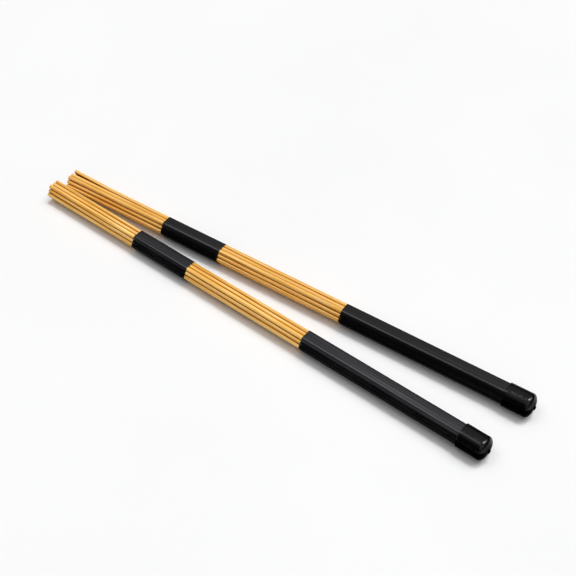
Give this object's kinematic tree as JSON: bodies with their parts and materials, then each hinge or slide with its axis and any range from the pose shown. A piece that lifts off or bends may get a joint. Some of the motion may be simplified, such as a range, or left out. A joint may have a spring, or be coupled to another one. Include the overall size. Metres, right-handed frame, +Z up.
{
  "type": "pair of drum rods",
  "caption": "Pair of bamboo-dowel drum rods: dowel bundles in a hexagonal black shrink grip, with a sliding tension band and a round vinyl butt cap.",
  "frame": {"origin": "bottom centre of the pair as it lies on the floor", "axes": "+Y along the sticks towards the dowel tips, +X to the right, +Z up; the left stick is at -X"},
  "size_m": [0.0635, 0.4015, 0.0174],
  "materials": {
    "bamboo": "lightly lacquered bamboo, honey gold, fibres along the dowel",
    "shrink_black": "glossy black heat-shrink sleeve",
    "vinyl_black": "glossy black dipped vinyl"
  },
  "bodies": {
    "left_stick": {"left_dowel_01": "bamboo", "left_dowel_02": "bamboo", "left_dowel_03": "bamboo", "left_dowel_04": "bamboo", "left_dowel_05": "bamboo", "left_dowel_06": "bamboo", "left_dowel_07": "bamboo", "left_dowel_08": "bamboo", "left_dowel_09": "bamboo", "left_dowel_10": "bamboo", "left_dowel_11": "bamboo", "left_dowel_12": "bamboo", "left_dowel_13": "bamboo", "left_dowel_14": "bamboo", "left_dowel_15": "bamboo", "left_dowel_16": "bamboo", "left_dowel_17": "bamboo", "left_dowel_18": "bamboo", "left_dowel_19": "bamboo", "left_grip": "shrink_black"},
    "left_band": {"left_band": "shrink_black"},
    "left_cap": {"left_cap": "vinyl_black"},
    "right_stick": {"right_dowel_01": "bamboo", "right_dowel_02": "bamboo", "right_dowel_03": "bamboo", "right_dowel_04": "bamboo", "right_dowel_05": "bamboo", "right_dowel_06": "bamboo", "right_dowel_07": "bamboo", "right_dowel_08": "bamboo", "right_dowel_09": "bamboo", "right_dowel_10": "bamboo", "right_dowel_11": "bamboo", "right_dowel_12": "bamboo", "right_dowel_13": "bamboo", "right_dowel_14": "bamboo", "right_dowel_15": "bamboo", "right_dowel_16": "bamboo", "right_dowel_17": "bamboo", "right_dowel_18": "bamboo", "right_dowel_19": "bamboo", "right_grip": "shrink_black"},
    "right_band": {"right_band": "shrink_black"},
    "right_cap": {"right_cap": "vinyl_black"}
  },
  "joints": [
    {"name": "right_stick_lift", "type": "slide", "parent": "left_stick", "child": "right_stick", "axis": [0, 0, 1], "range_m": [0, 0.06]},
    {"name": "left_band_slide", "type": "slide", "parent": "left_stick", "child": "left_band", "axis": [0.0382, 0.9993, -0.0046], "range_m": [-0.104, 0.006]},
    {"name": "left_cap_pull", "type": "slide", "parent": "left_stick", "child": "left_cap", "axis": [-0.0382, -0.9993, 0.0046], "range_m": [0, 0.03]},
    {"name": "right_band_slide", "type": "slide", "parent": "right_stick", "child": "right_band", "axis": [-0.0382, 0.9993, -0.0045], "range_m": [-0.104, 0.006]},
    {"name": "right_cap_pull", "type": "slide", "parent": "right_stick", "child": "right_cap", "axis": [0.0382, -0.9993, 0.0045], "range_m": [0, 0.03]}
  ]
}
